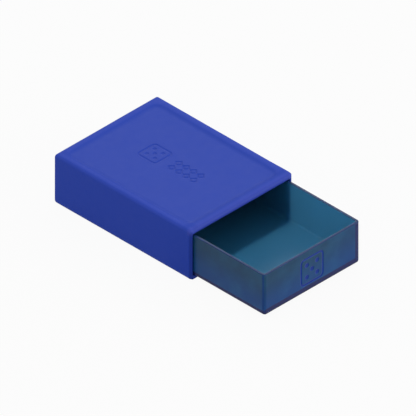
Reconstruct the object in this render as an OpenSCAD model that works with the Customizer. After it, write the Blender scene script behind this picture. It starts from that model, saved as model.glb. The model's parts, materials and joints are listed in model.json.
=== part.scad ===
// Storage chest with a wrapped board sleeve and a translucent sliding drawer.
// The sleeve stands on its bottom face. The drawer slides out towards -Y.
// The origin is at the centre of the sleeve's bottom face, and +Z is up.

/* [Sleeve] */
// Outer width of the sleeve, across the drawer
sleeve_w = 90.6; // [60:0.1:140]
// Outer depth of the sleeve, along the drawer's travel
sleeve_d = 120; // [80:1:180]
// Outer height of the sleeve, at the crest of its border
sleeve_h = 38.2; // [26:0.1:70]

/* [Sleeve layers] */
// Thickness of the leatherette cover
cover_t = 1; // [0.8:0.1:1.2]
// Thickness of the stiff boards
board_t = 1.4; // [1.2:0.1:2.4]
// Thickness of the lining, and of the skived turn-in at the mouth
lining_t = 0.4; // [0.3:0.1:0.8]
// Thickness of the patch that closes the back
back_cover_t = 0.5; // [0.3:0.1:0.8]
// How far the cover is turned in behind the mouth
turn_in = 7; // [4:0.5:12]
// Bare strip left round the back patch
back_cover_inset = 3.5; // [3.2:0.1:6]
// Corner radius of the back patch
back_cover_corner_r = 1.5; // [0.5:0.1:3]

/* [Padded top] */
// Thickness of the foam where the panel is pressed flat
pad_t = 0.3; // [0.2:0.1:0.6]
// Height of the raised border above the panel
border_h = 1.2; // [0.8:0.1:1.6]
// Distance from the outside of the sleeve to the crest of the border
border_w = 3.4; // [2.4:0.1:5]
// Width of the soft slope from the crest down to the panel
slope_w = 5.8; // [3:0.1:8]
// Corner radius of the flat panel inside the slope
panel_corner_r = 2.5; // [0.5:0.5:8]

/* [Sleeve edges] */
// Rounding along the edges that run with the drawer
long_edge_r = 3; // [2.2:0.1:3.4]
// Rounding along the edges above and below the mouth, and at the back
end_edge_r = 2.8; // [1.4:0.1:3.4]
// Rounding of the upright edges
upright_edge_r = 1.4; // [1.2:0.1:2]
// Rounding of the mouth's inner edge
mouth_edge_r = 0.7; // [0.3:0.1:0.9]
// Chamfer that eases the upper and lower edges of what the cover is stretched over
board_chamfer = 0.8; // [0.5:0.1:1]

/* [Drawer] */
// How far the drawer stands drawn out of its closed place
drawer_out = 59.8; // [0:0.1:75]
// How far the closed drawer stands proud of the mouth, to take hold of
drawer_proud = 2; // [0.5:0.5:6]
// Thickness of the drawer's walls
drawer_wall_t = 1.8; // [1.2:0.1:3]
// Thickness of the drawer's floor
drawer_floor_t = 2; // [1.2:0.1:3]
// Outer rounding of the drawer's bottom edges
drawer_bottom_r = 1.5; // [1:0.1:4]
// Outer rounding of the drawer's upright edges
drawer_upright_r = 1.4; // [0.8:0.1:2]
// Inner rounding where the drawer's floor meets its walls
drawer_inner_bottom_r = 1.5; // [0.6:0.1:3]
// Inner rounding of the drawer's upright corners
drawer_inner_upright_r = 1; // [0.5:0.1:2]

/* [Drawer clearances] */
// Gap between the drawer and each side lining
side_gap = 0.4; // [0.3:0.05:0.8]
// Gap between the drawer and the floor lining
floor_gap = 0.1; // [0.1:0.05:0.4]
// Gap between the drawer's rim and the ceiling lining
ceiling_gap = 0.7; // [0.2:0.05:1]
// Gap behind the closed drawer
back_gap = 0.4; // [0.2:0.1:1]

/* [Magnetic catch] */
// Diameter of the disc magnets
magnet_d = 6; // [4:0.5:10]
// Thickness of the magnets in the drawer
magnet_t = 2; // [1:0.5:3]
// How far the magnets in the back board lie below its outer face
magnet_sink = 0.1; // [0.1:0.1:0.5]
// Distance between the two magnets of a pair
magnet_spacing = 50; // [20:1:60]
// Clearance round a magnet in its pocket
magnet_gap = 0.05; // [0.02:0.01:0.1]
// Thickness of the disc that closes a pocket
cap_t = 0.6; // [0.4:0.1:1]
// Wall of the boss round a pocket
boss_wall_t = 1.5; // [1:0.1:2.5]
// Skin of the boss in front of the magnet
boss_skin_t = 1; // [0.6:0.1:2]
// Rounding of the boss's front edge
boss_edge_r = 0.6; // [0.2:0.1:1]

/* [Hidden] */
$fn = 64;

cover_blue = "#4153ab";
lining_navy = "#0a0f2c";
board_grey = "#8d8a82";
foam_grey = "#55585e";
magnet_grey = "#b9bcc0";
tray_blue = "#2b5c92";

// Overrun of every cut past the face that it opens
overrun = 1;

// Heights of the layers, from the bottom up
floor_board_z = cover_t;
floor_lining_z = floor_board_z + board_t;
floor_z = floor_lining_z + lining_t;
panel_z = sleeve_h - border_h;
pad_z = panel_z - cover_t - pad_t;
ceiling_board_z = pad_z - board_t;
ceiling_z = ceiling_board_z - lining_t;

// Half widths of the layers, from the outside in
board_outer_x = sleeve_w / 2 - cover_t;
board_inner_x = board_outer_x - board_t;
lining_inner_x = board_inner_x - lining_t;

// Places along the travel, from the mouth to the back
mouth_y = -sleeve_d / 2;
board_front_y = mouth_y + cover_t;
lining_front_y = mouth_y + turn_in;
cover_back_y = sleeve_d / 2 - back_cover_t;
board_back_y = cover_back_y - cover_t;
back_board_y = board_back_y - board_t;
back_lining_y = back_board_y - lining_t;

// The slope of the border is two equal arcs, tangent to each other, the crest and the panel
crest_x = sleeve_w / 2 - border_w;
crest_y = sleeve_d / 2 - border_w;
slope_r = (slope_w * slope_w + border_h * border_h) / (4 * border_h);
crest_corner_r = panel_corner_r + slope_w;

// The drawer, in its closed place
drawer_w = 2 * (lining_inner_x - side_gap);
drawer_z = floor_z + floor_gap;
drawer_h = ceiling_z - ceiling_gap - drawer_z;
drawer_front_y = mouth_y - drawer_proud;
drawer_back_y = back_lining_y - back_gap;
drawer_d = drawer_back_y - drawer_front_y;
magnet_z = drawer_z + drawer_h / 2;
sleeve_magnet_t = board_t - magnet_sink;
pocket_d = magnet_d + 2 * magnet_gap;
pocket_depth = cap_t + magnet_t;
boss_d = pocket_d + 2 * boss_wall_t;
boss_depth = pocket_depth + boss_skin_t;

// A profile in X and Z, carried along Y from one place to another
module along_y(from_y, to_y) {
    translate([0, to_y, 0])
        rotate([90, 0, 0])
            linear_extrude(to_y - from_y)
                children();
}

// A profile in Y and Z, carried along X over a width centred on the origin
module along_x(width) {
    rotate([90, 0, 90])
        linear_extrude(width, center = true)
            children();
}

// A rectangle with four rounded corners, between two opposite corners
module rounded_rect(low, high, r) {
    translate([low[0] + r, low[1]])
        square([high[0] - low[0] - 2 * r, high[1] - low[1]]);
    translate([low[0], low[1] + r])
        square([high[0] - low[0], high[1] - low[1] - 2 * r]);
    for (x = [low[0] + r, high[0] - r], y = [low[1] + r, high[1] - r])
        translate([x, y])
            circle(r);
}

// The same, with only its two lower corners rounded
module rounded_below(low, high, r) {
    translate([low[0] + r, low[1]])
        square([high[0] - low[0] - 2 * r, high[1] - low[1]]);
    translate([low[0], low[1] + r])
        square([high[0] - low[0], high[1] - low[1] - r]);
    for (x = [low[0] + r, high[0] - r])
        translate([x, low[1] + r])
            circle(r);
}

// A box between two opposite corners
module block(low, high) {
    translate(low)
        cube(high - low);
}

// The outer form of the wrapped sleeve, each run of edges with its own rounding
module sleeve_form() {
    intersection() {
        along_y(mouth_y, cover_back_y)
            rounded_rect([-sleeve_w / 2, 0], [sleeve_w / 2, sleeve_h], long_edge_r);
        along_x(sleeve_w)
            rounded_rect([mouth_y, 0], [cover_back_y, sleeve_h], end_edge_r);
        linear_extrude(sleeve_h)
            rounded_rect([-sleeve_w / 2, mouth_y], [sleeve_w / 2, cover_back_y], upright_edge_r);
    }
}

// The air above the sunken panel, as half of a section out to the crest
module slope_section(crest) {
    slope_mid_z = panel_z + border_h / 2;
    difference() {
        union() {
            translate([0, slope_mid_z])
                square([crest, border_h / 2 + overrun]);
            intersection() {
                translate([0, panel_z])
                    square([crest - slope_w / 2, border_h]);
                union() {
                    translate([0, panel_z])
                        square([crest - slope_w, border_h]);
                    translate([crest - slope_w, panel_z + slope_r])
                        circle(slope_r);
                }
            }
        }
        translate([crest, sleeve_h - slope_r])
            circle(slope_r);
    }
}

// The sunken panel with its soft slope, straight along each side and turned round each corner
module panel_hollow() {
    straight_x = crest_x - crest_corner_r;
    straight_y = crest_y - crest_corner_r;
    along_y(-straight_y, straight_y)
        union() {
            slope_section(crest_x);
            mirror([1, 0])
                slope_section(crest_x);
        }
    along_x(2 * straight_x)
        union() {
            slope_section(crest_y);
            mirror([1, 0])
                slope_section(crest_y);
        }
    for (x = [-straight_x, straight_x], y = [-straight_y, straight_y])
        translate([x, y, 0])
            rotate_extrude()
                slope_section(crest_corner_r);
}

// A rectangle with four chamfered corners, between two opposite corners
module eased_rect(low, high) {
    c = board_chamfer;
    polygon([
        [low[0], low[1] + c], [low[0] + c, low[1]], [high[0] - c, low[1]], [high[0], low[1] + c],
        [high[0], high[1] - c], [high[0] - c, high[1]], [low[0] + c, high[1]], [low[0], high[1] - c]
    ]);
}

// What the cover is stretched over: the boards and the pad, with eased upper and lower edges
module cover_former() {
    former_top_z = sleeve_h - cover_t;
    difference() {
        intersection() {
            along_y(board_front_y, board_back_y)
                eased_rect([-board_outer_x, floor_board_z], [board_outer_x, former_top_z]);
            along_x(2 * board_outer_x)
                eased_rect([board_front_y, floor_board_z], [board_back_y, former_top_z]);
        }
        translate([0, 0, -cover_t])
            panel_hollow();
    }
}

// The room that the drawer slides in, wider where the mouth's inner edge is rounded
module drawer_tunnel() {
    intersection() {
        along_x(sleeve_w)
            mouth_profile([mouth_y, floor_z], [back_lining_y, ceiling_z]);
        linear_extrude(sleeve_h)
            mirror([1, -1])
                mouth_profile([mouth_y, -lining_inner_x], [back_lining_y, lining_inner_x]);
    }
}

// A section of that room: a rectangle that opens in a quarter round at its front end
module mouth_profile(low, high) {
    translate([low[0] - overrun, low[1]])
        square([high[0] - low[0] + overrun, high[1] - low[1]]);
    difference() {
        translate([low[0] - overrun, low[1] - mouth_edge_r])
            square([overrun + mouth_edge_r, high[1] - low[1] + 2 * mouth_edge_r]);
        for (z = [low[1] - mouth_edge_r, high[1] + mouth_edge_r])
            translate([low[0] + mouth_edge_r, z])
                circle(mouth_edge_r);
    }
}

module outer_cover() {
    color(cover_blue)
        difference() {
            sleeve_form();
            difference() {
                cover_former();
                block(
                    [-board_inner_x, board_front_y - overrun, floor_lining_z],
                    [board_inner_x, lining_front_y, ceiling_board_z]
                );
            }
            drawer_tunnel();
            panel_hollow();
        }
}

module back_cover() {
    color(cover_blue)
        along_y(cover_back_y, sleeve_d / 2)
            rounded_rect(
                [-sleeve_w / 2 + back_cover_inset, back_cover_inset],
                [sleeve_w / 2 - back_cover_inset, sleeve_h - back_cover_inset],
                back_cover_corner_r
            );
}

module top_pad() {
    color(foam_grey)
        intersection() {
            cover_former();
            block([-board_outer_x, mouth_y, pad_z], [board_outer_x, sleeve_d / 2, sleeve_h]);
        }
}

module top_board() {
    color(board_grey)
        block([-board_outer_x, board_front_y, ceiling_board_z], [board_outer_x, board_back_y, pad_z]);
}

module bottom_board() {
    color(board_grey)
        intersection() {
            cover_former();
            block([-board_outer_x, mouth_y, 0], [board_outer_x, sleeve_d / 2, floor_lining_z]);
        }
}

module right_board() {
    color(board_grey)
        block([board_inner_x, board_front_y, floor_lining_z], [board_outer_x, board_back_y, ceiling_board_z]);
}

module left_board() {
    mirror([1, 0, 0])
        right_board();
}

module back_board() {
    color(board_grey)
        difference() {
            block(
                [-board_inner_x, back_board_y, floor_lining_z],
                [board_inner_x, board_back_y, ceiling_board_z]
            );
            for (side = [-1, 1])
                magnet_place(side, back_board_y - overrun)
                    cylinder(d = pocket_d, h = board_t + 2 * overrun);
        }
}

module top_lining() {
    color(lining_navy)
        block([-board_inner_x, lining_front_y, ceiling_z], [board_inner_x, back_board_y, ceiling_board_z]);
}

module bottom_lining() {
    color(lining_navy)
        block([-board_inner_x, lining_front_y, floor_lining_z], [board_inner_x, back_board_y, floor_z]);
}

module right_lining() {
    color(lining_navy)
        block([lining_inner_x, lining_front_y, floor_z], [board_inner_x, back_board_y, ceiling_z]);
}

module left_lining() {
    mirror([1, 0, 0])
        right_lining();
}

module back_lining() {
    color(lining_navy)
        block([-lining_inner_x, back_lining_y, floor_z], [lining_inner_x, back_board_y, ceiling_z]);
}

// A place on a magnet's axis, looking towards the back of the sleeve
module magnet_place(side, at_y) {
    translate([side * magnet_spacing / 2, at_y, magnet_z])
        rotate([-90, 0, 0])
            children();
}

module sleeve_magnet(side) {
    color(magnet_grey)
        magnet_place(side, back_board_y)
            cylinder(d = magnet_d, h = sleeve_magnet_t);
}

// The solid form of the drawer between two opposite corners, sharp at its rim
module tray_form(low, high, bottom_r, upright_r) {
    intersection() {
        along_y(low[1], high[1])
            rounded_below([low[0], low[2]], [high[0], high[2]], bottom_r);
        along_x(drawer_w)
            rounded_below([low[1], low[2]], [high[1], high[2]], bottom_r);
        translate([0, 0, low[2]])
            linear_extrude(high[2] - low[2])
                rounded_rect([low[0], low[1]], [high[0], high[1]], upright_r);
    }
}

// The boss round a magnet's pocket, standing on the inside of the drawer's back wall
module pocket_boss() {
    boss_h = boss_depth - drawer_wall_t / 2;
    rotate_extrude()
        intersection() {
            rounded_below([-boss_d / 2, 0], [boss_d / 2, boss_h], boss_edge_r);
            square([boss_d / 2, boss_h]);
        }
}

module closed_tray() {
    difference() {
        union() {
            difference() {
                tray_form(
                    [-drawer_w / 2, drawer_front_y, drawer_z],
                    [drawer_w / 2, drawer_back_y, drawer_z + drawer_h],
                    drawer_bottom_r, drawer_upright_r
                );
                tray_form(
                    [
                        -drawer_w / 2 + drawer_wall_t,
                        drawer_front_y + drawer_wall_t,
                        drawer_z + drawer_floor_t
                    ],
                    [
                        drawer_w / 2 - drawer_wall_t,
                        drawer_back_y - drawer_wall_t,
                        drawer_z + drawer_h + overrun
                    ],
                    drawer_inner_bottom_r, drawer_inner_upright_r
                );
            }
            for (side = [-1, 1])
                magnet_place(side, drawer_back_y - boss_depth)
                    pocket_boss();
        }
        for (side = [-1, 1])
            magnet_place(side, drawer_back_y - pocket_depth)
                cylinder(d = pocket_d, h = pocket_depth + overrun);
    }
}

// The drawer's pieces stand drawn out of the closed place
module drawn_out() {
    translate([0, -drawer_out, 0])
        children();
}

module drawer_tray() {
    color(tray_blue)
        drawn_out()
            closed_tray();
}

module drawer_magnet(side) {
    color(magnet_grey)
        drawn_out()
            magnet_place(side, drawer_back_y - pocket_depth)
                cylinder(d = magnet_d, h = magnet_t);
}

module magnet_cap(side) {
    color(tray_blue)
        drawn_out()
            magnet_place(side, drawer_back_y - cap_t)
                cylinder(d = magnet_d, h = cap_t);
}

module sleeve_magnet_left() { sleeve_magnet(-1); }
module sleeve_magnet_right() { sleeve_magnet(1); }
module drawer_magnet_left() { drawer_magnet(-1); }
module drawer_magnet_right() { drawer_magnet(1); }
module magnet_cap_left() { magnet_cap(-1); }
module magnet_cap_right() { magnet_cap(1); }

outer_cover();
back_cover();
top_pad();
top_board();
bottom_board();
left_board();
right_board();
back_board();
top_lining();
bottom_lining();
left_lining();
right_lining();
back_lining();
sleeve_magnet_left();
sleeve_magnet_right();
drawer_tray();
drawer_magnet_left();
drawer_magnet_right();
magnet_cap_left();
magnet_cap_right();
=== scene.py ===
import json
import math

import bmesh
import bpy
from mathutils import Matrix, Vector, noise


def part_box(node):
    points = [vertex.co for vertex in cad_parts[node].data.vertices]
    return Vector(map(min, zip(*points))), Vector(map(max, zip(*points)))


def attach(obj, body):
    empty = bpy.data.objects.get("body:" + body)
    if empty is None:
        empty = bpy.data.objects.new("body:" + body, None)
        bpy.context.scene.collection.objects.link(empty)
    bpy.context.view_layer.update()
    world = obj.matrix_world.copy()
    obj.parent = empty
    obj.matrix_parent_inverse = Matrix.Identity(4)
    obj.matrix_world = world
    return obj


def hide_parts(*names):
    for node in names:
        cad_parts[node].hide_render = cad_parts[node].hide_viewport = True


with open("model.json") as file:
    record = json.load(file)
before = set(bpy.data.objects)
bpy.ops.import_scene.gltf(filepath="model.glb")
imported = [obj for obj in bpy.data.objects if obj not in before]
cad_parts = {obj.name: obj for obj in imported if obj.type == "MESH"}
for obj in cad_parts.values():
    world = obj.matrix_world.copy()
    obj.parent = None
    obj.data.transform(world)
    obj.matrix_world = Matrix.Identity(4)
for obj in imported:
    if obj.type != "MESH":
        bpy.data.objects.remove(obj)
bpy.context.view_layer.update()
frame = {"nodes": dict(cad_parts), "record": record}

mm = 0.001
noiseMiddle = 0.5  # about which a shader's noise varies

# The camera looks along the chest's corner, without perspective, as the photograph does
photo = {
    "imageSize": 416,                # pixels along each side of the picture
    "pixelsPerMm": 1.61,
    "originPixel": (173.4, 212.75),  # where the middle of the sleeve's base falls
    "azimuth": -45,                  # degrees
    "elevation": 35,
    "distance": 600,                 # mm
    "clipping": (0.01, 10),          # metres
}


def newObject(name, data):
    made = bpy.data.objects.new(name, data)
    bpy.context.scene.collection.objects.link(made)
    return made


def placeCamera():
    azimuth, elevation = math.radians(photo["azimuth"]), math.radians(photo["elevation"])
    back = Vector((
        math.sin(azimuth) * math.cos(elevation),
        -math.cos(azimuth) * math.cos(elevation),
        math.sin(elevation),
    ))
    right = Vector((math.cos(azimuth), math.sin(azimuth), 0))
    up = back.cross(right)
    middle = photo["imageSize"] / 2
    pixel = mm / photo["pixelsPerMm"]
    aim = right * (middle - photo["originPixel"][0]) * pixel
    aim += up * (photo["originPixel"][1] - middle) * pixel
    data = bpy.data.cameras.new("camera")
    data.type = "ORTHO"
    data.ortho_scale = photo["imageSize"] * pixel
    data.clip_start, data.clip_end = photo["clipping"]
    camera = newObject("camera", data)
    camera.location = aim + back * photo["distance"] * mm
    camera.rotation_euler = (-back).to_track_quat("-Z", "Y").to_euler()
    bpy.context.scene.camera = camera


placeCamera()
print("camera placed")


# A socket that takes part in arithmetic. Each operator adds one Math node.
class Wire:
    def __init__(self, finish, socket):
        self.finish, self.socket = finish, socket

    def math(self, operation, first, second):
        return self.finish.node("ShaderNodeMath", {"operation": operation}, {0: first, 1: second})

    def __add__(self, other):
        return self.math("ADD", self, other)

    def __sub__(self, other):
        return self.math("SUBTRACT", self, other)

    def __rsub__(self, other):
        return self.math("SUBTRACT", other, self)

    def __mul__(self, other):
        return self.math("MULTIPLY", self, other)

    def __abs__(self):
        return self.math("ABSOLUTE", self, 0)

    __radd__ = __add__
    __rmul__ = __mul__


# A material or world, and its nodes
class Finish:
    def __init__(self, owner):
        owner.use_nodes = True
        self.owner, self.tree = owner, owner.node_tree
        self.tree.nodes.clear()

    def node(self, kind, settings, sockets, out=0):
        made = self.tree.nodes.new(kind)
        for name, value in settings.items():
            setattr(made, name, value)
        for name, value in sockets.items():
            if isinstance(value, Wire):
                self.tree.links.new(value.socket, made.inputs[name])
            else:
                made.inputs[name].default_value = value
        return Wire(self, made.outputs[out])

    # The place on the surface, times a scale, or times one for each axis
    def place(self, scale):
        where = self.node("ShaderNodeTexCoord", {}, {}, "Object")
        if not isinstance(scale, tuple):
            scale = (scale, scale, scale)
        return self.node("ShaderNodeVectorMath", {"operation": "MULTIPLY"}, {0: where, 1: scale})

    # X, Y and Z on the surface, in mm
    def axes(self):
        where = self.place(1 / mm)
        return [self.node("ShaderNodeSeparateXYZ", {}, {0: where}, axis) for axis in "XYZ"]

    # Noise whose features are about so many mm across
    def noise(self, size, detail=2, roughness=0.5, stretch=(1, 1, 1)):
        scale = tuple(s / (size * mm) for s in stretch)
        return self.node("ShaderNodeTexNoise", {}, {
            "Vector": self.place(scale), "Scale": 1, "Detail": detail, "Roughness": roughness,
        })

    # Distance from the middle of cells that are about so many mm across
    def cells(self, size, feature="F1"):
        return self.node("ShaderNodeTexVoronoi", {"feature": feature}, {
            "Vector": self.place(1 / (size * mm)), "Scale": 1,
        }, "Distance")

    # 0 below the low value and 1 above the high one
    def step(self, value, low, high):
        return self.node("ShaderNodeMapRange", {"interpolation_type": "SMOOTHSTEP"}, {
            "Value": value, "From Min": low, "From Max": high,
        })

    # 1 between the two middle values and 0 outside the outer ones
    def band(self, value, low, full, end, high):
        return self.step(value, low, full) * (1 - self.step(value, end, high))

    # Sockets 6 and 7 of a Mix node are its two colours, and its output 2 is the mixed one
    def blend(self, factor, first, second):
        return self.node("ShaderNodeMix", {"data_type": "RGBA"}, {0: factor, 6: first, 7: second}, 2)

    def least(self, first, second):
        return self.node("ShaderNodeMath", {"operation": "MINIMUM"}, {0: first, 1: second})

    def most(self, first, second):
        return self.node("ShaderNodeMath", {"operation": "MAXIMUM"}, {0: first, 1: second})

    def bump(self, height, distance):
        return self.node("ShaderNodeBump", {}, {
            "Height": height, "Distance": distance * mm, "Strength": 1,
        })

    def surface(self, shader):
        world = isinstance(self.owner, bpy.types.World)
        out = self.tree.nodes.new("ShaderNodeOutputWorld" if world else "ShaderNodeOutputMaterial")
        self.tree.links.new(shader.socket, out.inputs["Surface"])
        return self.owner

    def principled(self, sockets):
        return self.surface(self.node("ShaderNodeBsdfPrincipled", {}, sockets))


def newFinish(name):
    return Finish(bpy.data.materials.new(name))


# A screen colour, from 0 to 255, as the shaders count it
def linear(red, green, blue):
    return tuple(
        c / 12.92 if c <= 0.04045 else ((c + 0.055) / 1.055) ** 2.4
        for c in (red / 255, green / 255, blue / 255)
    ) + (1,)


def shaded(colour, share):
    return tuple(c * share for c in colour[:3]) + (1,)


studio = {
    "floorSize": 3.0,              # metres
    "floorDrop": 0.05,             # mm below the base
    "floorColour": linear(188, 188, 188),
    "floorWhite": 0.94,            # share of the floor that the camera sees as plain white
    "background": (1, 1, 1, 1),
    "skyStrength": 0.93,
    "lamps": {                     # place in metres, size in metres, power in watts
        "front": ((0.60, -0.77, 0.25), 0.5, 3.2),
        "gloss": ((0.579, 0.579, 0.574), 0.4, 1.15),
    },
}


# 1 for the rays that see the plain white background: straight from the camera, mirrored or let through
def showsBackground(finish):
    seen = 0
    for ray in ("Is Camera Ray", "Is Glossy Ray", "Is Transmission Ray"):
        seen = finish.node("ShaderNodeLightPath", {}, {}, ray) + seen
    return finish.least(seen, 1)


def lightSky():
    sky, colour = Finish(bpy.data.worlds.new("studio")), studio["background"]
    lit, seen = [
        sky.node("ShaderNodeBackground", {}, {"Color": colour, "Strength": strength})
        for strength in (studio["skyStrength"], 1)
    ]
    bpy.context.scene.world = sky.surface(
        sky.node("ShaderNodeMixShader", {}, {0: showsBackground(sky), 1: lit, 2: seen})
    )


def layFloor():
    half = studio["floorSize"] / 2
    mesh = bpy.data.meshes.new("floor")
    corners = [(-half, -half, 0), (half, -half, 0), (half, half, 0), (-half, half, 0)]
    mesh.from_pydata(corners, [], [(0, 1, 2, 3)])
    floor = newObject("floor", mesh)
    floor.location.z = -studio["floorDrop"] * mm
    f = newFinish("floor_white")
    matt = f.node("ShaderNodeBsdfDiffuse", {}, {"Color": studio["floorColour"]})
    plain = f.node("ShaderNodeEmission", {}, {"Color": studio["background"], "Strength": 1})
    share = showsBackground(f) * studio["floorWhite"]
    mesh.materials.append(f.surface(f.node("ShaderNodeMixShader", {}, {0: share, 1: matt, 2: plain})))


def hangLamps():
    for name, (place, size, power) in studio["lamps"].items():
        data = bpy.data.lights.new(name, "AREA")
        data.shape = "SQUARE"
        data.size = size
        data.energy = power
        lamp = newObject(name, data)
        lamp.location = place
        lamp.rotation_euler = (-lamp.location).to_track_quat("-Z", "Y").to_euler()


lightSky()
layFloor()
hangLamps()
bpy.context.scene.view_settings.view_transform = "Standard"
print("studio lit")


# The two corners of a box, in mm
def inMm(corners):
    return [[value / mm for value in corner] for corner in corners]


# Evenly spaced places through a list of (place, spacing up to the next place), 0 after the last
def runs(stops):
    places = []
    for (low, spacing), (high, unused) in zip(stops, stops[1:]):
        count = max(1, round((high - low) / spacing))
        places += [low + (high - low) * k / count for k in range(count)]
    return places + [stops[-1][0]]


# The same to both sides of 0, from a list that starts at 0
def mirroredRuns(stops):
    places = runs(stops)
    return [-place for place in reversed(places[1:])] + places


# Shares of a rounding's radius along it and across it, from (0, 1) to (1, 0)
def quarterTurn(steps):
    angles = [math.radians(90 * k / steps) for k in range(steps + 1)]
    return [(1 - math.cos(angle), 1 - math.sin(angle)) for angle in angles]


# How far an edge rounding of this radius draws in, at a distance from the face that it ends on
def drawnIn(radius, distance):
    if distance >= radius:
        return 0
    return radius - math.sqrt(radius * radius - (radius - distance) ** 2)


# The same for an edge cut back in a straight slope, with a soft turn at its inner end
def bevelled(distance, drawn, length, soft):
    slope = drawn * (1 - distance / length)
    return (slope + math.hypot(slope, soft)) / 2 - soft * soft / (4 * drawn) * min(1, distance / length)


def smooth(share):
    share = min(1, max(0, share))
    return share * share * (3 - 2 * share)


# Distance from the outline of a rounded rectangle round the origin, less than 0 inside it
def roundedBox(x, y, halfX, halfY, radius):
    overX, overY = abs(x) - halfX + radius, abs(y) - halfY + radius
    return math.hypot(max(overX, 0), max(overY, 0)) + min(max(overX, overY), 0) - radius


# A ring round a rounded rectangle. The columns list shares of its straight sides.
def ringRound(columns, halfWidth, low, high, corner):
    inner = halfWidth - corner
    lowest, highest = low + corner, high - corner
    steps = columns["corner"]

    def turned(x, z, start):
        angles = [math.radians(start + 90 * k / steps) for k in range(1, steps)]
        return [(x + corner * math.cos(a), z + corner * math.sin(a)) for a in angles]

    ring = [(inner * share, low) for share in columns["low"]]
    ring += turned(inner, lowest, -90)
    ring += [(halfWidth, lowest + (highest - lowest) * share) for share in columns["side"]]
    ring += turned(inner, highest, 0)
    ring += [(inner * share, high) for share in reversed(columns["high"])]
    ring += turned(-inner, highest, 90)
    ring += [(-halfWidth, lowest + (highest - lowest) * share) for share in reversed(columns["side"])]
    ring += turned(-inner, lowest, 180)
    return ring


# A closed mesh through a list of rings, with its first and last ring filled
def loft(name, rings):
    count = len(rings[0])
    points = [Vector(point) * mm for ring in rings for point in ring]
    faces = []
    for k in range(len(rings) - 1):
        for i in range(count):
            j = (i + 1) % count
            faces.append((k * count + i, k * count + j, (k + 1) * count + j, (k + 1) * count + i))
    faces.append(tuple(range(count)))
    faces.append(tuple(range((len(rings) - 1) * count, len(rings) * count)))
    mesh = bpy.data.meshes.new(name)
    mesh.from_pydata(points, [], faces)
    return mesh


# A solid of revolution whose axis runs along Y, from a profile of (radius, y)
def turnedSolid(name, profile, x, z, steps):
    rings = []
    for radius, y in profile:
        angles = [2 * math.pi * k / steps for k in range(steps)]
        rings.append([(x + radius * math.cos(a), y, z + radius * math.sin(a)) for a in angles])
    return loft(name, rings)


def facedOutwards(mesh):
    form = bmesh.new()
    form.from_mesh(mesh)
    bmesh.ops.recalc_face_normals(form, faces=form.faces)
    form.to_mesh(mesh)
    form.free()


# Edges that turn by more than sharpAbove degrees stay sharp
def addPiece(name, mesh, body, slotName, sharpAbove, *replaced):
    facedOutwards(mesh)
    mesh.shade_smooth()
    mesh.set_sharp_from_angle(angle=math.radians(sharpAbove))
    mesh.materials.clear()
    mesh.materials.append(finishes[slotName])
    piece = newObject(name, mesh)
    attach(piece, body)
    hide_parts(*replaced)


# A square outline with five dots, pressed into a surface
mark = {
    "outlineCorner": 0.28,   # shares of half the mark's size
    "dotPlace": 0.47,
    "dotRadius": 0.15,
    "line": 0.9,             # mm
}


def markDepth(x, y, half, depth, soft):
    dot = mark["dotPlace"] * half
    away = abs(roundedBox(x, y, half, half, mark["outlineCorner"] * half)) - mark["line"] / 2
    for dotX, dotY in ((0, 0), (-dot, -dot), (-dot, dot), (dot, -dot), (dot, dot)):
        away = min(away, math.hypot(x - dotX, y - dotY) - mark["dotRadius"] * half)
    return depth * (1 - smooth(away / soft))


# Each noise is its size in mm, its detail and its roughness
leatherette = {
    "border": (0.0200, 0.0530, 0.397, 1),   # the padded border, painted lighter as a painted highlight on its crest and outer slope
    "panel": (0.0123, 0.0451, 0.373, 1),    # the pressed panel and the sides
    "mottle": 0.066,                        # how much darker its patches are
    "mottleShare": 0.3,
    "mottleRange": (0.35, 0.75),
    "mottleNoises": ((14, 3), (2.2, 3)),    # large and small patches
    "mottleMix": (0.6, 0.4),
    "rubbed": linear(98, 116, 206),         # a little paler, along the upper and upright edges
    "rubbedShare": 0.18,
    "rubbedRange": (0.25, 0.8),
    "rubbedNoise": (3, 4, 0.7),
    "shadedSlopes": 0.7,                          # painted shade: share of the panel's colour on the border's inner slopes
    "shadedSlopesShare": 0.13,
    "lipSheen": (0.140, 0.120, 0.360, 1),    # painted sheen on the lip above the mouth
    "lipSheenShare": 0.12,
    "mouthSideShade": (0, 0, 0.02, 1),              # painted shade on the rim's strips beside the mouth, where the drawer shades them
    "mouthSideShadeShare": 0.24,
    "grainSize": 0.55,                      # mm
    "grainDepth": 0.035,
    "creaseSize": 2.5,                      # times the grain's
    "creaseNoise": (4, 0.6),                # detail and roughness
    "grainMix": (0.65, 0.5),                # pebbles and creases
    "roughness": 0.56,
    "borderRoughness": 0.09,                # added on the padded border
    "unevenRoughness": 0.12,                # how much it varies
    "unevenNoise": (5, 3),
    "wornRoughness": 0.08,                  # taken off where rubbed, added on the shaded slopes
    "specular": 0.18,
}

# The places between which the cover's look changes, in mm
coverZones = {
    "sideBorder": (42, 43),                 # from the middle, across
    "backBorder": (56.8, 57.8),
    "borderOutside": (35, 36.8),            # heights on the border's outer slope
    "crest": (37.1, 37.5),
    "roughCrest": (37.02, 37.3),
    "sideEdge": (44.2, 45.3),
    "endEdge": (58.9, 60.0),
    "upperEdge": (36.3, 37.4),
    "leftSlope": (-42.2, -40.4, -38.5, -36.5),      # where it begins, is full, ends and is gone
    "mouthSlope": (-57.2, -55, -53.5, -51.5),
    "slopeHeight": (36.3, 36.6),
    "lip": (-58.5, -56),
    "lipHeight": (33, 34.5),
    "sideShadeFront": (-59.3, -58.3),
    "sideShadeSide": (42.6, 43.2),
    "sideShadeHeight": (34, 36),
}


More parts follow.
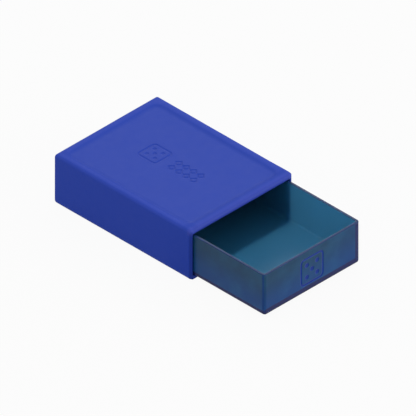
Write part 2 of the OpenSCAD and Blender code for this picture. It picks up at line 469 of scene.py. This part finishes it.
def makeLeatherette():
    f, look, zones = newFinish("blue_leatherette"), leatherette, coverZones
    x, y, z = f.axes()
    # The border's crest and outer slope are painted lighter than the panel and the sides: a painted
    # highlight
    nearOutside = f.most(f.step(abs(x), *zones["sideBorder"]), f.step(y, *zones["backBorder"]))
    raised = f.most(f.step(z, *zones["crest"]), nearOutside * f.step(z, *zones["borderOutside"]))
    base = f.blend(raised, look["panel"], look["border"])
    (large, small), (largeShare, smallShare) = look["mottleNoises"], look["mottleMix"]
    patchy = f.noise(*large) * largeShare + f.noise(*small) * smallShare
    darker = shaded(look["panel"], 1 - look["mottle"])
    base = f.blend(f.step(patchy, *look["mottleRange"]) * look["mottleShare"], base, darker)

    nearSide = f.step(abs(x), *zones["sideEdge"])
    nearEnd = f.step(abs(y), *zones["endEdge"])
    nearTop = f.step(z, *zones["upperEdge"])
    rubbed = nearSide * nearTop + nearEnd * nearTop + nearSide * nearEnd
    rubbed = f.step(rubbed * f.noise(*look["rubbedNoise"]), *look["rubbedRange"])
    base = f.blend(rubbed * look["rubbedShare"], base, look["rubbed"])

    # Painted shade, and a rougher finish, on the border's inner slopes at the left and above the mouth
    slopes = f.most(f.band(x, *zones["leftSlope"]), f.band(y, *zones["mouthSlope"]))
    shadedSlopes = slopes * f.step(z, *zones["slopeHeight"])
    base = f.blend(shadedSlopes * look["shadedSlopesShare"], base, shaded(look["panel"], look["shadedSlopes"]))
    # Painted sheen along the lip above the mouth
    lipSheen = (1 - f.step(y, *zones["lip"])) * f.step(z, *zones["lipHeight"])
    base = f.blend(lipSheen * look["lipSheenShare"], base, look["lipSheen"])
    # Painted shade on the strips of the rim beside the mouth
    mouthSideShade = (1 - f.step(y, *zones["sideShadeFront"])) * f.step(abs(x), *zones["sideShadeSide"])
    mouthSideShade = mouthSideShade * (1 - f.step(z, *zones["sideShadeHeight"]))
    base = f.blend(mouthSideShade * look["mouthSideShadeShare"], base, look["mouthSideShade"])

    pebbles = f.cells(look["grainSize"], "SMOOTH_F1")
    creases = f.noise(look["grainSize"] * look["creaseSize"], *look["creaseNoise"])
    pebbleShare, creaseShare = look["grainMix"]
    grain = pebbles * pebbleShare + creases * creaseShare
    uneven = f.noise(*look["unevenNoise"])
    roughness = look["roughness"] + f.step(z, *zones["roughCrest"]) * look["borderRoughness"]
    roughness = roughness + (uneven - noiseMiddle) * look["unevenRoughness"]
    return f.principled({
        "Base Color": base,
        "Roughness": roughness - rubbed * look["wornRoughness"] + shadedSlopes * look["wornRoughness"],
        "Specular IOR Level": look["specular"],
        "Normal": f.bump(grain, look["grainDepth"]),
    })


trayPlastic = {
    "upper": (0.004, 0.041, 0.097, 1),      # the outer walls, near the rim
    "lower": (0.003, 0.047, 0.190, 1),      # and lower down
    "inside": (0.020, 0.150, 0.300, 1),
    "clear": (0.300, 0.600, 0.800, 1),      # tint of the light that leaves the plastic
    "rim": (0.003, 0.030, 0.120, 1),
    "rimEdge": (0.007, 0.026, 0.116, 1),    # along the rim's outer edge
    "bandShade": (0.010, 0.014, 0.088, 1),       # painted shade along the bottom and the right-hand uprights, where much plastic lies behind the surface
    # Painted shade under the drawer, on its underside
    "underside": (0.001, 0.002, 0.035, 1),
    "undersideShare": 0.9,
    # Painted shade in a line beside each upright corner
    "upright": (0.001, 0.037, 0.180, 1),
    "uprightShare": 0.85,
    "engraved": (0.001, 0.024, 0.250, 1),
    "bluer": 0.3,                           # share of the lower colour at the right
    "cloudShare": 0.25,
    "cloudRange": (0.35, 0.75),
    "cloudNoise": (16, 3, 0.5),             # size in mm, detail and roughness
    "roughness": 0.40,
    "unevenRoughness": 0.08,
    "unevenNoise": (6, 3),
    "frostNoise": (0.35, 2),
    "frostDepth": 0.012,                    # mm
    "specular": 0.12,
    "refraction": 1.5,
    "outerTransmission": 0.18,
    "innerTransmission": 0.55,
}

# The places between which the drawer's look changes, in mm from its faces
trayZones = {
    "walls": (4, 3),                        # from its bottom, and from its top
    "rightward": (4, 36),                   # from the middle
    "upright": 0.9,                         # how far behind the corner its line of painted shade runs
    "uprightFade": (0.5, 1.2),
    "shadedBand": (3.8, 4.6),                    # up to where the painted shade reaches, where much plastic lies behind the surface
    "thinnerLeft": (0.5, 2),
    "thinnerBy": 1.1,
    "endsTimes": 2,                         # how many times a distance from an end counts
    "underside": (0.7, 1.5),
    "engravedDepth": (0.06, 0.22, 0.6, 0.9),
    "engravedHeight": (2, 3),
    "engravedSide": (3, 4),
    "innerFace": (0.9, 1.3),
    "floor": (1.1, 1.6),
    "rim": (0.5, 0.1),
    "rimEdge": (0.35, 0.9),
}


# The moulded walls take their colour from the depth of plastic that the light crosses, painted in, with
# painted shade along the bottom, the right-hand uprights, the underside and beside each upright corner
def makeTrayPlastic():
    f, look, zones = newFinish("frosted_blue_plastic"), trayPlastic, trayZones
    (left, front, bottom), (right, back, top) = inMm(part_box("drawer_tray"))
    x, y, z = f.axes()
    fromSide, fromFront, fromBack = right - abs(x), y - front, back - y
    fromEnd = f.least(fromFront, fromBack)
    fromOutside = f.least(fromSide, fromEnd)
    leaving = f.node("ShaderNodeNewGeometry", {}, {}, "Backfacing")

    fromBottom, fromTop = zones["walls"]
    base = f.blend(f.step(z, bottom + fromBottom, top - fromTop), look["lower"], look["upper"])
    base = f.blend(f.step(x, *zones["rightward"]) * look["bluer"], base, look["lower"])
    clouds = f.step(f.noise(*look["cloudNoise"]), *look["cloudRange"])
    base = f.blend(clouds * look["cloudShare"], base, look["inside"])
    # A line of painted shade beside each upright corner
    corner = 1 - f.step(abs(fromEnd - fromSide - zones["upright"]), *zones["uprightFade"])
    base = f.blend(corner * look["uprightShare"], base, look["upright"])
    fromEnds = fromEnd * zones["endsTimes"]
    low = z - bottom + (1 - f.step(x - left, *zones["thinnerLeft"])) * zones["thinnerBy"]
    shadedBand = 1 - f.step(f.least(low, f.most(right - x, fromEnds)), *zones["shadedBand"])
    base = f.blend(shadedBand, base, look["bandShade"])
    # Painted shade along the underside
    under = 1 - f.step(z - bottom, *zones["underside"])
    base = f.blend(under * look["undersideShare"], base, look["underside"])

    engraved = f.band(fromFront, *zones["engravedDepth"])
    engraved = engraved * f.step(f.least(z - bottom, top - z), *zones["engravedHeight"])
    engraved = engraved * f.step(fromSide, *zones["engravedSide"])
    base = f.blend(engraved, base, look["engraved"])
    aboveFloor = f.step(z, *[bottom + height for height in zones["floor"]])
    inside = f.step(fromOutside, *zones["innerFace"]) * aboveFloor
    base = f.blend(inside, base, look["inside"])
    rim = f.step(z, *[top - depth for depth in zones["rim"]])
    rimColour = f.blend(f.step(fromOutside, *zones["rimEdge"]), look["rimEdge"], look["rim"])
    base = f.blend(rim, base, rimColour)
    base = f.blend(leaving, base, look["clear"])

    uneven = f.noise(*look["unevenNoise"]) - noiseMiddle
    sockets = {
        "Base Color": base,
        "Roughness": look["roughness"] + uneven * look["unevenRoughness"],
        "Specular IOR Level": look["specular"],
        "Transmission Weight": look["outerTransmission"],
        "IOR": look["refraction"],
        "Normal": f.bump(f.noise(*look["frostNoise"]), look["frostDepth"]),
    }
    outer = f.node("ShaderNodeBsdfPrincipled", {}, sockets)
    sockets["Transmission Weight"] = look["innerTransmission"]
    inner = f.node("ShaderNodeBsdfPrincipled", {}, sockets)
    share = f.most(inside, leaving)
    return f.surface(f.node("ShaderNodeMixShader", {}, {0: share, 1: outer, 2: inner}))


# Each noise is its size in mm, detail, roughness and stretch, and depths are in mm
lining = {
    "colours": ((0.0025, 0.0055, 0.032, 1), (0.0050, 0.0090, 0.048, 1)),
    "patches": (8, 3),
    "nap": (0.25, 4, 0.7, (1, 0.35, 1)),
    "napDepth": 0.06,
    "napRoughness": 0.12,
    "roughness": 0.85,
    "specular": 0.15,
    "sheen": 0.06,
}


def makeLining():
    f = newFinish("navy_lining")
    nap = f.noise(*lining["nap"])
    return f.principled({
        "Base Color": f.blend(f.noise(*lining["patches"]), *lining["colours"]),
        "Roughness": lining["roughness"] + nap * lining["napRoughness"],
        "Specular IOR Level": lining["specular"],
        "Sheen Weight": lining["sheen"],
        "Normal": f.bump(nap, lining["napDepth"]),
    })


board = {
    "colours": (linear(118, 113, 104), linear(158, 153, 142)),
    "fleckColour": linear(86, 80, 72),
    "fibres": (0.4, 5, 0.65, (1, 0.3, 1)),
    "fibreDepth": 0.05,
    "fibreRoughness": 0.1,
    "flecks": (0.7, 2),
    "fleckRange": (0.62, 0.72),
    "fleckShare": 0.5,
    "roughness": 0.88,
    "specular": 0.25,
}


def makeBoard():
    f = newFinish("grey_board")
    fibres = f.noise(*board["fibres"])
    flecks = f.step(f.noise(*board["flecks"]), *board["fleckRange"])
    colour = f.blend(fibres, *board["colours"])
    return f.principled({
        "Base Color": f.blend(flecks * board["fleckShare"], colour, board["fleckColour"]),
        "Roughness": board["roughness"] + (fibres - noiseMiddle) * board["fibreRoughness"],
        "Specular IOR Level": board["specular"],
        "Normal": f.bump(fibres, board["fibreDepth"]),
    })


foam = {
    "colours": (linear(58, 60, 65), linear(104, 107, 113)),
    "poreSize": 0.45,
    "poreRange": (0.1, 0.5),
    "poreMiddle": 0.4,
    "poreDepth": 0.12,
    "poreRoughness": 0.08,
    "roughness": 0.9,
    "specular": 0.2,
}


def makeFoam():
    f = newFinish("grey_foam")
    pores = f.cells(foam["poreSize"])
    return f.principled({
        "Base Color": f.blend(f.step(pores, *foam["poreRange"]), *foam["colours"]),
        "Roughness": foam["roughness"] + (pores - foam["poreMiddle"]) * foam["poreRoughness"],
        "Specular IOR Level": foam["specular"],
        "Normal": f.bump(pores, foam["poreDepth"]),
    })


magnet = {
    "colours": (linear(190, 192, 194), linear(214, 214, 212)),
    "patches": (1.5, 3),
    "brushing": (0.12, 3, 0.6, (1, 1, 0.2)),
    "brushingDepth": 0.004,
    "brushingRoughness": 0.15,
    "roughness": 0.2,
}


def makeMagnet():
    f = newFinish("nickel_plate")
    brushed = f.noise(*magnet["brushing"])
    return f.principled({
        "Base Color": f.blend(f.noise(*magnet["patches"]), *magnet["colours"]),
        "Metallic": 1.0,
        "Roughness": magnet["roughness"] + brushed * magnet["brushingRoughness"],
        "Normal": f.bump(brushed, magnet["brushingDepth"]),
    })


finishes = {
    "cover": makeLeatherette(),
    "tray": makeTrayPlastic(),
    "lining": makeLining(),
    "board": makeBoard(),
    "foam": makeFoam(),
    "magnet": makeMagnet(),
}
for part in frame["record"]["subparts"]:
    node = frame["nodes"][part["node"]]
    node.data.materials.clear()
    node.data.materials.append(finishes[part["material_slot"]])
print("finishes made:", len(finishes))

# The wrapped sleeve, in mm. Its plan, layers and mouth are the solid's own.
cover = {
    "thickness": 1.0,
    "longEdge": 3.0,         # rounding of the edges along the drawer's travel
    "topEdge": 2.1,          # the two upper ones are wrapped tighter
    "backTop": 2.0,          # rounding of the closed end's upper edge
    "backUpright": 1.0,
    "frontTop": 3.1,         # rounding of the mouth's upper edge, down to its lip
    "frontSide": (1.9, 1.45, 0.3),  # how far the rim is cut back at the sides, over what length, how softly
    "frontBottom": 0.5,
    "backBottom": 2.0,
    "rimCorner": 1.2,        # corner radius of the rim round the mouth
    "borderWidth": 3.4,      # from the outside to the crest of the border
    "leftBorder": 2.6,       # the same on the left
    "leftFrom": -22,         # X from which it narrows, and over how many mm
    "leftOver": 14,
    "sunken": (0.45, 0.65),  # how far the cover lies below the solid's crest, at the mouth and beyond
    "sunkenFrom": -52,       # Y from which that changes, and over how many mm
    "sunkenOver": 12,
    "slope": 5.8,
    "borderHeight": 1.2,
    "pressed": 1.25,         # how much deeper the cover's outside is pressed than the solid's
    "panelCorner": 2.5,
    "mouthHalf": 42.5,
    "mouthLow": 2.8,
    "mouthHigh": 33.9,
    "mouthEdge": 0.8,
    "lipEdge": 1.2,          # rounding of the mouth's upper lip
    "mouthCorner": 0.3,
    "turnIn": 7.0,
    "turnInEdge": 0.1,
    "turnInCorner": 0.4,
    "boardStep": 0.4,        # thickness of the turned-in strip
    "boardEase": 0.8,
    "boardCorner": 1.1,
    "markPlace": (0, 16.3),
    "markHalf": 7.7,
    "markDepth": 0.32,
    "markSoft": 0.36,
    "lozengeRows": (-3.2, 3.2),
    "lozenges": (-1.6, -8.0, -14.4, -20.8),
    "lozengeHalf": 2.4,
    "lozengeLine": 0.6,
    "seamX": 36,
    "seamHalf": 0.45,
    "seamDepth": 0.12,
    "waviness": 0.05,
    "waves": ((17, 0.7), (6, 0.3)),  # their sizes and shares
    "sharpAbove": 50,        # degrees
}

# The cover's mesh: how far apart its points are, in mm, and where each spacing ends
coverMesh = {
    "marks": 0.3,
    "slopes": 0.42,
    "panel": (2.4, 2),       # across and along
    "bottom": 6,
    "besideEdge": 0.4,
    "seam": 0.2,
    "seamReach": 1,          # to both sides of it
    "besideSeam": 1,
    "inside": (0.84, 6),     # under the slopes and between them
    "pastMarks": 1.2,        # how far the spacing for the marks reaches past them
    "pastLozenges": 3.6,     # from the middle of the last one
    "pastSlope": (0.6, 0.5),  # into the panel, across and along
    "pastCrest": 0.1,
    "mouth": (               # rings round the rim, from the cover's front end
        3.2, 2.8, 2.4, 2.0, 1.75, 1.55, 1.4, 1.25, 1.1, 0.9, 0.7, 0.5, 0.35, 0.22, 0.12, 0.04, 0,
    ),
    "turnInStart": 2,
    "turnInEnd": (0.3, 0.1),  # rings before its end
    "side": (0, 0.012, 0.1, 0.25, 0.4, 0.55, 0.7, 0.85, 0.94, 0.985, 1),  # shares of its height
    "corner": 9,             # steps in a rounding
    "backEdge": 10,
    "mouthEdge": 6,
}


# Depth of the top below the crest of its border: a slope of two arcs, then the panel
def recess(x, y, halfWidth, front, back):
    c = cover
    middle, halfLength = (front + back) / 2, (back - front) / 2
    corner = c["panelCorner"] + c["slope"]
    inside = -roundedBox(
        x, y - middle, halfWidth - c["borderWidth"], halfLength - c["borderWidth"], corner
    )
    if inside <= 0:
        return 0
    width, height = c["slope"], c["borderHeight"]
    radius = (width * width + height * height) / (4 * height)
    if inside < width / 2:
        return radius - math.sqrt(radius * radius - inside * inside)
    left = max(width - inside, 0)
    return height - radius + math.sqrt(radius * radius - left * left)


# The same on the outside, where the cover is drawn down over the padding
def topDepth(x, y, halfWidth, front, back, lipShare):
    c = cover
    leftShare = smooth((c["leftFrom"] - x) / c["leftOver"])
    narrower = (c["borderWidth"] - c["leftBorder"]) * leftShare
    depth = recess(x + narrower, y, halfWidth, front, back)
    atMouth, beyond = c["sunken"]
    beyondShare = smooth((y - c["sunkenFrom"]) / c["sunkenOver"])
    lower = (atMouth + (beyond - atMouth) * beyondShare) * (1 - lipShare)
    return depth * c["pressed"] + lower * (1 - depth / c["borderHeight"])


# The square mark lies across the panel, and two rows of lozenges follow it towards the mouth
def pressedMarks(x, y):
    c = cover
    markX, markY = c["markPlace"]
    depth = markDepth(x - markX, y - markY, c["markHalf"], c["markDepth"], c["markSoft"])
    for row in c["lozengeRows"]:
        for place in c["lozenges"]:
            away = (abs(x - row) + abs(y - place) - c["lozengeHalf"]) / math.sqrt(2)
            away = abs(away) - c["lozengeLine"] / 2
            depth = max(depth, c["markDepth"] * (1 - smooth(away / c["markSoft"])))
    return depth


# Slight waves in the outside, which comes first in the mesh. They stay inside the solid's sides.
def wavy(mesh, count, half):
    form = bmesh.new()
    form.from_mesh(mesh)
    form.verts.ensure_lookup_table()
    form.normal_update()
    shifts = []
    for vertex in form.verts[:count]:
        wave = sum(noise.noise(vertex.co / (size * mm)) * share for size, share in cover["waves"])
        shifts.append(-vertex.normal * cover["waviness"] * mm * smooth(0.5 + wave))
    for vertex, shift in zip(form.verts[:count], shifts):
        vertex.co += shift
        vertex.co.x = max(-half * mm, min(half * mm, vertex.co.x))
    form.to_mesh(mesh)
    form.free()


def makeCover():
    c, m = cover, coverMesh
    lowest, (half, back, top) = inMm(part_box("outer_cover"))
    front, bottom = lowest[1:]
    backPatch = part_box("back_cover")[1][1] / mm
    flat, crest = half - c["longEdge"], half - c["borderWidth"]
    slopeX, slopeY = crest - c["slope"], backPatch - c["borderWidth"] - c["slope"]
    pastX, pastY = m["pastSlope"]
    panelAcross, panelAlong = m["panel"]
    beside = m["besideEdge"]
    across = mirroredRuns([
        (0, m["marks"]), (c["markHalf"] + m["pastMarks"], panelAcross), (slopeX - pastX, m["slopes"]),
        (crest + m["pastCrest"], flat - crest), (flat, 0),
    ])
    acrossBottom = runs([
        (-flat, beside), (-flat + 2 * beside, m["bottom"]), (c["seamX"] - m["seamReach"], m["seam"]),
        (c["seamX"] + m["seamReach"], m["besideSeam"]), (flat - beside, beside), (flat, 0),
    ])
    columns = {
        "high": [x / flat for x in across],
        "low": [x / flat for x in acrossBottom],
        "side": m["side"],
        "corner": m["corner"],
    }

    def outside(y):
        ended = min(back - y, y - front)
        if y < 0:
            topIn, sideIn = drawnIn(c["frontTop"], ended), bevelled(ended, *c["frontSide"])
        else:
            topIn, sideIn = drawnIn(c["backTop"], ended), drawnIn(c["backUpright"], ended)
        bottomIn = drawnIn(c["frontBottom"] if y < 0 else c["backBottom"], ended)
        corner = c["longEdge"] + (c["rimCorner"] - c["longEdge"]) * min(1, topIn / c["backTop"])
        side, high, tight = half - sideIn, top - topIn, c["topEdge"] / c["longEdge"]
        lipShare = topIn / c["frontTop"] if y < 0 else 0
        ring = []
        for x, z in ringRound(columns, side, bottom + bottomIn, high, corner):
            fromSeam = abs(x - c["seamX"])
            if abs(x) > side - corner and z > high - corner:
                x = math.copysign(side - (side - abs(x)) * tight, x)
                z = high - (high - z) * tight
            if z > top / 2:
                z -= topDepth(x, y, half, front, backPatch, lipShare) + pressedMarks(x, y)
            elif fromSeam < c["seamHalf"]:
                z += c["seamDepth"] * (1 - smooth(fromSeam / c["seamHalf"])) * (1 - smooth(topIn))
            ring.append((x, y, z))
        return ring

    def within(y, halfWidth, low, high, corner, sunk=False):
        ring = []
        for x, z in ringRound(columns, halfWidth, low, high, corner):
            if sunk and z > top / 2:
                z -= recess(x, y, half, front, backPatch)
            ring.append((x, y, z))
        return ring

    rollBack = [back - c["backTop"] * along for along, unused in quarterTurn(m["backEdge"])]
    rollFront = [front + place for place in m["mouth"]]
    marksFrom = min(c["lozenges"]) - m["pastLozenges"]
    marksTo = c["markPlace"][1] + c["markHalf"] + m["pastMarks"]
    lengthwise = runs([
        (rollFront[0], m["slopes"]), (-slopeY + pastY, panelAlong), (marksFrom, m["marks"]),
        (marksTo, panelAlong), (slopeY - pastY, m["slopes"]), (rollBack[-1], 0),
    ])
    rings = [outside(y) for y in rollBack[:-1] + lengthwise[::-1] + rollFront[1:]]
    outsideCount = len(rings) * len(rings[0])

    # Round the rim, in to the end of the turned-in strip, and back over the boards
    for along, out in quarterTurn(m["mouthEdge"]):
        grow, lift = c["mouthEdge"] * out, c["lipEdge"] * out
        rings.append(within(
            front + c["mouthEdge"] * along,
            c["mouthHalf"] + grow, c["mouthLow"] - grow, c["mouthHigh"] + lift, c["mouthCorner"] + grow,
        ))

    def strip(y, outwards, corner):
        return within(
            y, c["mouthHalf"] + outwards, c["mouthLow"] - outwards, c["mouthHigh"] + outwards, corner
        )

    turnInEnd = front + c["turnIn"]
    boardFront, boardBack = front + c["thickness"], back - c["thickness"]
    for y in [front + m["turnInStart"]] + [turnInEnd - place for place in m["turnInEnd"]]:
        rings.append(strip(y, 0, c["mouthCorner"]))
    rings.append(strip(turnInEnd, c["turnInEdge"], c["turnInCorner"]))
    rings.append(strip(turnInEnd, c["boardStep"], c["mouthCorner"]))
    rings.append(strip(boardFront, c["boardStep"], c["mouthCorner"]))
    ease, wide, corner = c["boardEase"], half - c["thickness"], c["boardCorner"]
    low, high = bottom + c["thickness"], top - c["thickness"]
    underSlopes, betweenSlopes = m["inside"]
    rings.append(within(boardFront, wide, low + ease, high - ease, corner))
    for y in runs([
        (boardFront + ease, underSlopes), (-slopeY + pastY, betweenSlopes),
        (slopeY - pastY, underSlopes), (boardBack - ease, 0),
    ]):
        rings.append(within(y, wide, low, high, corner, True))
    rings.append(within(boardBack, wide, low + ease, high - ease, corner))

    mesh = loft("wrapped_cover", rings)
    facedOutwards(mesh)
    wavy(mesh, outsideCount, half)
    addPiece("wrapped_cover", mesh, "sleeve", "cover", c["sharpAbove"], "outer_cover")


makeCover()
print("cover wrapped")

# The moulded drawer, in mm
tray = {
    "wall": 1.8,
    "floor": 2.0,
    "underEdge": 1.5,        # rounding of its lower edges
    "underFront": 0.4,       # share of that depth at the front
    "upright": 2.2,
    "rimCorner": 1.1,        # inside the rim
    "insideFloor": 1.5,
    "insideUpright": 1.0,
    "leastCorner": 0.4,
    "cornerShare": 0.5,      # of an inset that a corner's radius loses
    "rimEdge": 0.3,
    "markHalf": 9.5,
    "markDepth": 0.35,
    "markSoft": 0.4,
    "magnetSpacing": 50,
    "pocketRadius": 3.05,
    "pocketDepth": 2.6,
    "bossRadius": 4.55,
    "bossDepth": 3.6,
    "bossEdge": 0.6,
    "gateRadius": 2.0,       # mark left by the mould under the floor
    "gateDepth": 0.25,
    "cutPast": 1,            # how far a cut starts outside the surface
    "sharpAbove": 40,        # degrees
}

# The drawer's mesh: how far apart its points are, in mm, and where each spacing ends
trayMesh = {
    "marks": 0.35,
    "onFront": 0.01,         # how near the front face a point counts as on it
    "pastMarks": (1.4, 1.2),  # across and up
    "across": 4,
    "up": 2,
    "floor": 6,
    "besideEdge": 0.4,
    "besideRim": 0.3,
    "insideWall": (8, 5),    # rings below the top, and above the rounding of the floor
    "side": [0, 0.004] + [0.1 * k for k in range(1, 10)] + [0.996, 1],  # shares of its length
    "corner": 7,             # steps in a rounding
    "edge": 6,
    "rim": 4,
    "boss": 5,
    "turned": 48,
}


def cutAndJoin(mesh, joined, cut):
    piece = newObject("shaping", mesh)
    helpers = []
    for operation, shapes in (("UNION", joined), ("DIFFERENCE", cut)):
        for shape in shapes:
            facedOutwards(shape)
            helper = newObject("helper", shape)
            helpers.append(helper)
            step = piece.modifiers.new("step", "BOOLEAN")
            step.operation, step.solver, step.object = operation, "EXACT", helper
    bpy.context.view_layer.update()
    evaluated = piece.evaluated_get(bpy.context.evaluated_depsgraph_get())
    result = bpy.data.meshes.new_from_object(evaluated)
    for helper in helpers + [piece]:
        bpy.data.objects.remove(helper)
    return result


# The bosses behind the drawer's two magnets, and the pockets that the magnets lie in
def magnetHolders(back, z):
    t, steps = tray, trayMesh["turned"]
    boss = [(t["bossRadius"], back - t["wall"] / 2)]
    for along, out in quarterTurn(trayMesh["boss"]):
        radius = t["bossRadius"] - t["bossEdge"] * along
        boss.append((radius, back - t["bossDepth"] + t["bossEdge"] * out))
    ends = back - t["pocketDepth"], back + t["cutPast"]
    pocket = [(t["pocketRadius"], y) for y in ends]
    places = [side * t["magnetSpacing"] / 2 for side in (-1, 1)]
    return (
        [turnedSolid("boss", boss, x, z, steps) for x in places],
        [turnedSolid("pocket", pocket, x, z, steps) for x in places],
    )


# A shallow round recess, turned to point down
def gateMark(y, z):
    t = tray
    profile = [(t["gateRadius"], -t["cutPast"]), (t["gateRadius"], t["gateDepth"])]
    gate = turnedSolid("gate", profile, 0, 0, trayMesh["turned"])
    for vertex in gate.vertices:
        across, up, along = vertex.co
        vertex.co = (across, y * mm + along, z * mm + up)
    return gate


def makeTray():
    t, m = tray, trayMesh
    lowest, (half, back, top) = inMm(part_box("drawer_tray"))
    front, bottom = lowest[1:]
    flat = half - t["upright"]
    middle = (bottom + top) / 2
    pastX, pastZ = m["pastMarks"]
    beside = m["besideEdge"]
    acrossFront = mirroredRuns([
        (0, m["marks"]), (t["markHalf"] + pastX, m["across"]), (flat - beside, beside), (flat, 0),
    ])
    acrossBack = mirroredRuns([(0, m["floor"]), (flat - beside, beside), (flat, 0)])
    columns = {
        "low": [x / flat for x in acrossFront],
        "high": [x / flat for x in acrossBack],
        "side": m["side"],
        "corner": m["corner"],
    }

    def ring(inset, z, corner, marked=False, fore=1):
        points = []
        for x, y in ringRound(columns, half - inset, front + inset * fore, back - inset, corner):
            if marked and y < front + m["onFront"]:
                y += markDepth(x, z - middle, t["markHalf"], t["markDepth"], t["markSoft"])
            points.append((x, y, z))
        return points

    # Up the outside, over the rim, and down to the floor inside
    rings = []
    under, rim, inside, least = t["underEdge"], t["rimEdge"], t["insideFloor"], t["leastCorner"]
    for along, out in quarterTurn(m["edge"]):
        corner = max(t["upright"] - under * out, least)
        rings.append(ring(under * out, bottom + under * along, corner, fore=t["underFront"]))
    for z in runs([
        (bottom + under + beside, m["up"]), (middle - t["markHalf"] - pastZ, m["marks"]),
        (middle + t["markHalf"] + pastZ, m["up"]), (top - rim - m["besideRim"], 0),
    ]):
        rings.append(ring(0, z, t["upright"], True))
    for along, out in quarterTurn(m["rim"]):
        rings.append(ring(rim * along, top - rim * out, t["upright"] - rim * along * t["cornerShare"]))
    for along, out in reversed(quarterTurn(m["rim"])):
        rings.append(ring(t["wall"] - rim * along, top - rim * out, t["rimCorner"]))
    floor = bottom + t["floor"]
    belowTop, aboveFloor = m["insideWall"]
    for z in (
        top - rim - m["besideRim"], top - belowTop, middle,
        floor + inside + aboveFloor, floor + inside + beside,
    ):
        rings.append(ring(t["wall"], z, t["insideUpright"]))
    for along, out in quarterTurn(m["edge"]):
        drawn = inside * along
        corner = max(t["insideUpright"] - drawn * t["cornerShare"], least)
        rings.append(ring(t["wall"] + drawn, floor + inside * out, corner))
    mesh = loft("drawer", rings)
    facedOutwards(mesh)

    bosses, pockets = magnetHolders(back, middle)
    mesh = cutAndJoin(mesh, bosses, pockets + [gateMark((front + back) / 2, bottom)])
    mesh.name = "frosted_drawer"
    addPiece("frosted_drawer", mesh, "drawer", "tray", t["sharpAbove"], "drawer_tray")


makeTray()
print("drawer moulded")
